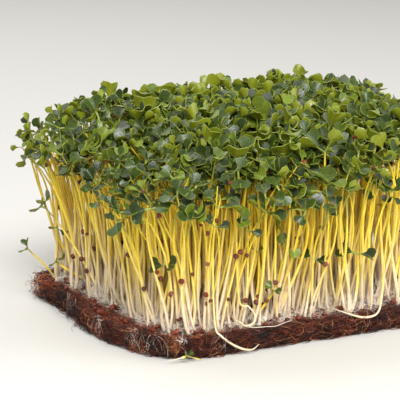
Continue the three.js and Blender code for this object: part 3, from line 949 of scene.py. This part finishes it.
class MICROGREENS_OT_fibres(Operator):
    """Lays coir fibres over the mat's rim and top, and pulls loose wisps out of it"""

    bl_idname = "microgreens.fibres"
    bl_label = "Coir fibres"

    def execute(self, context):
        settings = context.scene.microgreens_mat
        material = known(fibre_skin, "coir fibre", settings)
        template = tube_template(FIBRE_SIDES, FIBRE_RINGS)
        for maker in (self.rim_fibres, self.top_fibres, self.loose_wisps, self.fibre_knot):
            name = maker.__name__
            controls, radii, tint = maker(settings, np.random.default_rng(SEEDS[name]))
            points, share = swept(template, controls, radii, even)
            points[..., 2] = np.maximum(points[..., 2], 0.05 * MM)
            dressed(stamped(name, template, points, share=share, tint=tint[:, None]), material, "coir")
        return {"FINISHED"}

    def step_along(self, rng, count, shortest, longest):
        """Steps to either side along the rim, as shares of the way round it."""
        way_round = 2 * (MAT_LENGTH + MAT_DEPTH)
        return rng.uniform(shortest, longest, count) * MM / way_round * rng.choice([-1, 1], count)

    def rim_fibres(self, settings, rng):
        """Fibres that curl in and out of the rim."""
        count = settings.felt_fibres
        start = rng.random(count)
        foot, out = rim_points(start)
        head, out_there = rim_points(start + self.step_along(rng, count, 1, 8))
        bow = rng.gamma(2.0, 0.95, (count, 2)) * MM
        level = 1 - np.abs(out)
        controls = arcs(
            foot - out * rng.uniform(0.3, 1.8, (count, 1)) * MM,
            foot + out * bow[:, :1] + rng.normal(0, 2.0 * MM, (count, 3)) * level,
            head + out_there * bow[:, 1:] + rng.normal(0, 2.0 * MM, (count, 3)) * level,
            head - out_there * rng.uniform(0.3, 1.8, (count, 1)) * MM,
        )
        heights = rng.uniform(0.2, 9.0, (count, 1)) * MM + rng.normal(0, 2.3, (count, 4)) * MM
        controls[..., 2] = np.clip(heights, 0.1 * MM, MAT_THICKNESS + 0.7 * MM)
        return controls, settings.fibre_radius * rng.uniform(0.6, 1.5, count), rng.beta(0.7, 1.5, count)

    def top_fibres(self, settings, rng):
        """Fibres that lie over the border of the mat's top."""
        count = settings.top_fibres
        foot, out = rim_points(rng.random(count))
        foot = foot - out * rng.gamma(1.6, 3.4, (count, 1)) * MM
        foot[:, 2] = MAT_THICKNESS - 0.3 * MM
        heading = rng.uniform(0, 2 * math.pi, count)
        along = level_ways(heading) * rng.uniform(3, 10, (count, 1)) * MM
        bend = rng.normal(0, 1.8 * MM, (count, 2, 3))
        bend[..., 2] = rng.uniform(0.2, 2.0, (count, 2)) * MM
        near, far = foot + along * 0.33 + bend[:, 0], foot + along * 0.66 + bend[:, 1]
        controls = arcs(foot, near, far, foot + along)
        x, y = inside_rim(controls[..., 0], controls[..., 1], -0.6 * MM)
        controls[..., 0], controls[..., 1] = x, y
        return controls, settings.fibre_radius * rng.uniform(0.5, 1.2, count), rng.beta(2, 2, count)

    def loose_wisps(self, settings, rng):
        """Loose fibres that curl out of the rim, most of them back into it."""
        count = settings.wisps
        start = np.where(rng.random(count) < 0.4, rng.normal(WISP_TURN, 0.03, count), rng.random(count))
        foot, out = rim_points(start)
        head, out_there = rim_points(start + self.step_along(rng, count, 2, 16))
        reach = rng.uniform(1.2, 6.5, (count, 1)) * MM
        free = (rng.random(count) < 0.4)[:, None]
        controls = arcs(
            foot - out * 1.5 * MM,
            foot + out * reach,
            head + out_there * reach * rng.uniform(0.5, 1.1, (count, 1)),
            np.where(free, head + out_there * reach * 0.9, head - out_there * 1.2 * MM),
        )
        heights = rng.uniform(1, 8.5, (count, 1)) * MM + rng.normal(0, 2.2, (count, 4)) * MM
        controls[..., 2] = np.clip(heights, 0.3 * MM, 12 * MM)
        return controls, settings.fibre_radius * rng.uniform(0.5, 1.1, count), rng.beta(3, 1.6, count)

    def fibre_knot(self, settings, rng):
        """A nest of pale fibres that sticks out of the near corner."""
        count = KNOT_FIBRES
        spin = rng.uniform(0, 2 * math.pi, (count, 1))
        spin = spin + np.array([0, 1.6, 3.2, 4.8]) * rng.uniform(0.6, 1.1, (count, 1))
        reach = rng.uniform(1.6, 4.2, (count, 1)) * MM
        tilt = rng.normal(0, 0.5, (count, 1))
        along = unit(np.array([[0.75, -0.66, 0]]))
        controls = np.array(KNOT_MIDDLE) + rng.normal(0, 0.9 * MM, (count, 1, 3))
        controls = controls + (np.cos(spin) * reach)[..., None] * along
        controls[..., 2] += np.sin(spin) * reach * 1.1
        controls[..., :2] += (np.sin(spin) * tilt * reach)[..., None] * np.array([-0.66, -0.75])
        controls[..., 2] = np.clip(controls[..., 2], 0.4 * MM, 12 * MM)
        return controls, settings.fibre_radius * rng.uniform(0.6, 1.2, count), rng.uniform(0.6, 1, count)


class MICROGREENS_OT_stems(Operator):
    """Grows the stems, one piece for each bunch of the solids"""

    bl_idname = "microgreens.stems"
    bl_label = "Stems"

    def execute(self, context):
        settings = context.scene.microgreens_sprouts
        sprouts = grow(settings)
        material = known(stem_skin, "stem skin", settings)
        template = tube_template(STEM_SIDES, STEM_RINGS)
        rng = np.random.default_rng(SEEDS["stems"])
        radii = settings.stem_radius * rng.uniform(0.78, 1.18, len(sprouts["tint"]))
        for index, bunch in enumerate(BUNCHES):
            own = sprouts["bunch"] == index
            tint = sprouts["tint"][own, None]
            points, share = swept(template, sprouts["controls"][own], radii[own], self.thickness)
            piece = stamped(f"fine_stems_{bunch}", template, points, share=share, tint=tint)
            dressed(piece, material, "stem", f"stems_{bunch}")
        long_template = tube_template(STEM_SIDES, FREE_STEM_RINGS)
        for name, stops in FREE_STEMS.items():
            radius = settings.stem_radius * (FALLEN_RADIUS_SHARE if name == "stem_fallen" else 1)
            path = np.array(stops) * MM
            points, share = threaded(long_template, path, radius, self.rooted_thickness)
            piece = stamped(name, long_template, points[None], share=0.9 * share**2.2, tint=0.4)
            dressed(piece, material, "stem")
        return {"FINISHED"}

    def rooted_thickness(self, share):
        """Stems that end in a thin root."""
        return 0.8 * self.thickness(share) * np.minimum(1, 0.22 + 2.6 * share)

    def thickness(self, share):
        """Stems are thickest at the foot and slimmest under the leaves."""
        return 1.12 - 0.3 * share - 0.28 * share**4 + 0.1 * np.exp(-((share / 0.05) ** 2))


class MICROGREENS_OT_leaves(Operator):
    """Gives each sprout its pair of seed leaves, one piece for each bunch of the solids"""

    bl_idname = "microgreens.leaves"
    bl_label = "Seed leaves"

    def execute(self, context):
        settings = context.scene.microgreens_sprouts
        sprouts = grow(settings)
        material = known(leaf_skin, "leaf skin", settings)
        template = leaf_template()
        rng = np.random.default_rng(SEEDS["leaves"])
        count = len(sprouts["tint"])
        pair = {
            "rise": rng.uniform(0.05, 1.35, (count, 2)),
            "curl": rng.uniform(0.2, 1.6, (count, 2)),
            "fold": rng.uniform(0.15, 0.85, (count, 2)),
            "wave": rng.uniform(0, 2 * math.pi, (count, 2)),
            "turn": rng.normal(0, 0.3, (count, 2)) + np.array([0, math.pi]),
            "scale": rng.uniform(0.72, 1.08, (count, 2)),
            "tint": np.clip(sprouts["tint"][:, None] + rng.normal(0, 0.12, (count, 2)), 0, 1),
        }
        for index, bunch in enumerate(BUNCHES):
            own = sprouts["bunch"] == index
            thickness = settings.leaf_thickness
            points = np.concatenate(
                [self.bent(template, sprouts, pair, own, side, thickness) for side in (0, 1)]
            )
            under = -coordinates(template)[:, 2]
            points[..., 2] = np.maximum(points[..., 2], (0.6 - 0.3 * under) * MM)
            tint = np.concatenate([pair["tint"][own, side] for side in (0, 1)])
            piece = stamped(f"fine_leaves_{bunch}", template, points, under=under, tint=tint[:, None])
            dressed(piece, material, "leaf", f"leaves_{bunch}")
        return {"FINISHED"}

    def outline(self, along, across):
        """Where a point of the template lies on a flat leaf of length 1: a narrow stalk, then a fan whose
        rays end on two round lobes with a notch between them."""
        blade = np.maximum(0, (along - STALK_SHARE) / (1 - STALK_SHARE))
        ray = across * FAN_ANGLE * (0.52 + 0.5 * blade)
        notch = NOTCH_DEPTH * np.exp(-((across / NOTCH_WIDTH) ** 2))
        reach = (1 - STALK_SHARE) * (1 - blade * (notch + OUTER_FALL * across**6)) * blade
        forward = np.minimum(along, STALK_SHARE) + reach * np.cos(ray)
        return forward, reach * np.sin(ray) + STALK_WIDTH * across * (1 - blade)

    def bent(self, template, sprouts, pair, own, side, thickness):
        """One leaf of each pair: raised from the stem, arched towards its tip, cupped and a little wavy."""
        along, across, under = coordinates(template).T
        across = 2 * across - 1
        forward, sideways = self.outline(along, across)
        size = (sprouts["size"][own] * pair["scale"][own, side])[:, None]
        rise, curl, fold, wave = (pair[key][own, side][:, None] for key in ("rise", "curl", "fold", "wave"))
        angle = rise - curl * forward
        ahead = (np.sin(rise) - np.sin(angle)) / curl * size
        height = (np.cos(angle) - np.cos(rise)) / curl * size
        ripple = LEAF_RIPPLE * np.sin(3.5 * across + wave) * np.maximum(0, along - STALK_SHARE)
        lift = (LEAF_CUP * sideways**2 * np.sin(fold) + ripple) * size + under * thickness
        ahead = ahead - np.sin(angle) * lift
        height = height + np.cos(angle) * lift
        sideways = sideways * np.cos(fold) * size

        up = sprouts["up"][own]
        yaw = sprouts["yaw"][own] + pair["turn"][own, side]
        level = level_ways(yaw)
        forward = unit(level - up * (level * up).sum(-1, keepdims=True))
        left = np.cross(up, forward)
        tip = sprouts["controls"][own, 3]
        return (
            tip[:, None]
            + forward[:, None] * ahead[..., None]
            + left[:, None] * sideways[..., None]
            + up[:, None] * height[..., None]
        )


class MICROGREENS_OT_roots(Operator):
    """Adds the white root hairs round the stems' bases and the thin roots on the rim"""

    bl_idname = "microgreens.roots"
    bl_label = "Roots"

    def execute(self, context):
        settings = context.scene.microgreens_trim
        material = known(root_skin, "root hair", settings)
        rng = np.random.default_rng(SEEDS["roots"])
        roots = grow(context.scene.microgreens_sprouts)["controls"][:, 0]
        for name, maker in (("root_hairs", self.root_hairs), ("side_roots", self.side_roots)):
            template, points, share, tint = maker(settings, rng, roots[near_border(roots, 13 * MM)])
            dressed(stamped(name, template, points, share=share, tint=tint), material, "root")

        template = tube_template(LONG_ROOT_SIDES, LONG_ROOT_RINGS)
        stops = np.array(LONG_ROOT) * MM
        points, share = threaded(template, stops, LONG_ROOT_RADIUS, lambda s: 1 - 0.4 * s)
        dressed(stamped("long_root", template, points[None], share=share, tint=0.5), material, "root")
        return {"FINISHED"}

    def root_hairs(self, settings, rng, border):
        """Hairs round the stems that stand near the rim, more than half of them in tufts."""
        count = settings.root_hairs
        foot = border[rng.integers(0, len(border), count)]
        foot = foot + rng.normal(0, 0.8 * MM, foot.shape) * np.array([1, 1, 0])
        tufts = foot[rng.integers(0, count, HAIR_TUFTS)]
        tufted = rng.random(count) < 0.55
        foot = np.where(tufted[:, None], tufts[rng.integers(0, HAIR_TUFTS, count)], foot)
        foot[:, :2] += np.where(tufted[:, None], rng.normal(0, 1.5 * MM, (count, 2)), 0)
        heading = unit(rng.normal(0, 1, (count, 3)) * np.array([1, 1, 0.5]) + np.array([0, 0, 0.35]))
        ahead = heading * rng.uniform(1.6, 4.6, (count, 1)) * MM
        foot[:, 2] = MAT_THICKNESS - 0.6 * MM + rng.gamma(1.4, 0.9, count) * MM * (1 + tufted)
        bend = rng.normal(0, 0.7 * MM, (count, 2, 3))
        near, far = foot + ahead * 0.4 + bend[:, 0], foot + ahead * 0.8 + bend[:, 1]
        controls = arcs(foot, near, far, foot + ahead)
        template = tube_template(HAIR_SIDES, HAIR_RINGS)
        points, share = swept(template, controls, np.full(count, HAIR_RADIUS), lambda s: 1 - 0.6 * s)
        return template, points, share, rng.uniform(0, 0.35, (count, 1))

    def side_roots(self, settings, rng, _):
        """Thin roots that come out of the rim in bundles and hang down it."""
        count = settings.side_roots
        bundles = rng.random(ROOT_BUNDLES)[rng.integers(0, ROOT_BUNDLES, count)]
        foot, out = rim_points((bundles + rng.normal(0, 0.005, count)) % 1)
        slide = np.cross(out, np.array([0, 0, 1])) * rng.normal(0, 3.4, (count, 1)) * MM
        top = rng.uniform(6, 9.6, (count, 1))
        drop = top - rng.uniform(3, 9, (count, 1))
        tall = np.array([0, 0, MM])
        bend = rng.normal(0, 2.8, (2, count, 1)) - 1
        controls = arcs(
            foot - out * 0.8 * MM + tall * top,
            foot + out * rng.uniform(0.6, 2.2, (count, 1)) * MM + slide * 0.1 + tall * (top + bend[0]),
            foot + out * rng.uniform(0.2, 2.0, (count, 1)) * MM + slide * 0.9 + tall * (top + bend[1]),
            foot + out * rng.uniform(0, 1.4, (count, 1)) * MM + slide + tall * np.maximum(drop, 0.5),
        )
        template = tube_template(ROOT_SIDES, ROOT_RINGS)
        radii = rng.uniform(0.035, 0.07, count) * MM
        points, share = swept(template, controls, radii, lambda s: 1 - 0.5 * s)
        return template, points, share, rng.uniform(0.1, 1, (count, 1))


class MICROGREENS_OT_seed_coats(Operator):
    """Scatters empty seed coats over the mat and catches some on the stems"""

    bl_idname = "microgreens.seed_coats"
    bl_label = "Seed coats"

    def execute(self, context):
        settings = context.scene.microgreens_trim
        rng = np.random.default_rng(SEEDS["seed_coats"])
        curves = grow(context.scene.microgreens_sprouts)["controls"]
        centres = np.concatenate(
            [self.lying(settings, rng), self.hanging(settings, rng, curves), self.seen(curves)]
        )

        template = coat_template()
        shape = coordinates(template) * np.array([1, 0.92, 0.9])
        turns = unit(rng.normal(0, 1, (len(centres), 3)))
        other = unit(np.cross(turns, rng.normal(0, 1, turns.shape)))
        third = np.cross(turns, other)
        radii = (settings.seed_radius * rng.uniform(0.72, 1.1, len(centres)))[:, None, None]
        turned = sum(shape[:, i, None] * way[:, None] for i, way in enumerate((turns, other, third)))
        points = centres[:, None] + radii * turned
        tint = rng.random((len(centres), 1))
        piece = stamped("seed_coats", template, points, tint=tint)
        dressed(piece, known(coat_skin, "seed coat", settings), "seed_coat")
        return {"FINISHED"}

    def lying(self, settings, rng):
        """Middles of the coats that lie on the mat's border."""
        count = settings.seeds_low
        spot, out = rim_points(rng.random(count))
        spot = spot - out * rng.uniform(2, 13, (count, 1)) * MM
        spot[:, 2] = MAT_THICKNESS + rng.uniform(0.4, 1.6, count) * MM
        return spot

    def hanging(self, settings, rng, curves):
        """Middles of the coats that hang on stems near the rim, more of them low than high."""
        count = settings.seeds_high
        border = curves[near_border(curves[:, 0], 12 * MM)]
        picked = border[rng.integers(0, len(border), count)]
        height = (rng.random(count) ** 1.4)[:, None, None]
        around = rng.uniform(0, 2 * math.pi, count)
        return on_curves(picked, height)[:, 0] + level_ways(around) * 1.1 * MM

    def seen(self, curves):
        """Middles of the coats at the listed places, each moved to the nearest stem."""
        along = on_curves(curves, np.linspace(0.05, 1, 24)[None, :, None]).reshape(-1, 3)
        places = np.array(CAUGHT) * MM
        held = along[nearest(places, along)]
        return held + unit(places - held) * 1.2 * MM


class MICROGREENS_OT_stage(Operator):
    """Sets up the floor, the light and the camera"""

    bl_idname = "microgreens.stage"
    bl_label = "Floor, light and camera"

    def execute(self, context):
        settings = context.scene.microgreens_stage
        bm = bmesh.new()
        bmesh.ops.create_grid(bm, x_segments=1, y_segments=1, size=4)
        floor = placed("floor", finished(bm, "floor"))
        floor.data.materials.append(known(plain_skin, "plain floor", settings))

        world = bpy.data.worlds.new("daylight")
        world.use_nodes = True
        sky = world.node_tree.nodes["Background"].inputs
        sky["Color"].default_value = (1, 0.99, 0.97, 1)
        sky["Strength"].default_value = settings.daylight
        context.scene.world = world

        middle = Vector(settings.target)
        self.soft_box("key", settings.key_power, 0.5, middle, Vector((-0.35, -0.8, 0.82)))
        self.soft_box("fill", settings.fill_power, 0.9, middle, Vector((0.9, -0.5, 0.5)))
        self.soft_box("sheen", settings.sheen_power, 1.1, middle, Vector((-0.1, 0.75, 0.9)))

        camera = placed("camera", bpy.data.cameras.new("camera"))
        azimuth, elevation = settings.azimuth, settings.elevation
        level = math.cos(elevation)
        back = Vector((math.sin(azimuth) * level, -math.cos(azimuth) * level, math.sin(elevation)))
        camera.location = middle + back * settings.distance
        camera.rotation_euler = (-back).to_track_quat("-Z", "Y").to_euler()
        camera.data.lens = settings.lens
        camera.data.clip_start, camera.data.clip_end = 0.01, 20
        context.scene.camera = camera
        context.scene.view_settings.view_transform = "Standard"
        return {"FINISHED"}

    def soft_box(self, name, power, size, middle, offset):
        """A square soft light that faces the pad."""
        light = bpy.data.lights.new(name, "AREA")
        light.energy, light.size = power, size
        lamp = placed(name, light)
        lamp.location = middle + offset
        lamp.rotation_euler = (-offset).to_track_quat("-Z", "Y").to_euler()


OPERATORS = (
    MICROGREENS_OT_stage,
    MICROGREENS_OT_mat,
    MICROGREENS_OT_fibres,
    MICROGREENS_OT_stems,
    MICROGREENS_OT_leaves,
    MICROGREENS_OT_roots,
    MICROGREENS_OT_seed_coats,
)
SETTINGS = {
    "microgreens_mat": MatSettings,
    "microgreens_sprouts": SproutSettings,
    "microgreens_trim": TrimSettings,
    "microgreens_stage": StageSettings,
}


class MICROGREENS_PT_panel(Panel):
    """Lists the pad's operators and settings"""

    bl_label = "Pad of microgreens"
    bl_idname = "MICROGREENS_PT_panel"
    bl_space_type = "VIEW_3D"
    bl_region_type = "UI"
    bl_category = "Microgreens"

    def draw(self, context):
        for operator in OPERATORS:
            self.layout.operator(operator.bl_idname)
        for key, kind in SETTINGS.items():
            box = self.layout.box()
            box.label(text=kind.__doc__)
            for name in kind.__annotations__:
                box.prop(getattr(context.scene, key), name)


def register():
    for kind in (*SETTINGS.values(), *OPERATORS, MICROGREENS_PT_panel):
        bpy.utils.register_class(kind)
    for key, kind in SETTINGS.items():
        setattr(bpy.types.Scene, key, PointerProperty(type=kind))


def unregister():
    for key in SETTINGS:
        delattr(bpy.types.Scene, key)
    for kind in reversed((*SETTINGS.values(), *OPERATORS, MICROGREENS_PT_panel)):
        bpy.utils.unregister_class(kind)


def main():
    register()
    for operator in OPERATORS:
        space, name = operator.bl_idname.split(".")
        getattr(getattr(bpy.ops, space), name)()


if __name__ == "__main__":
    main()
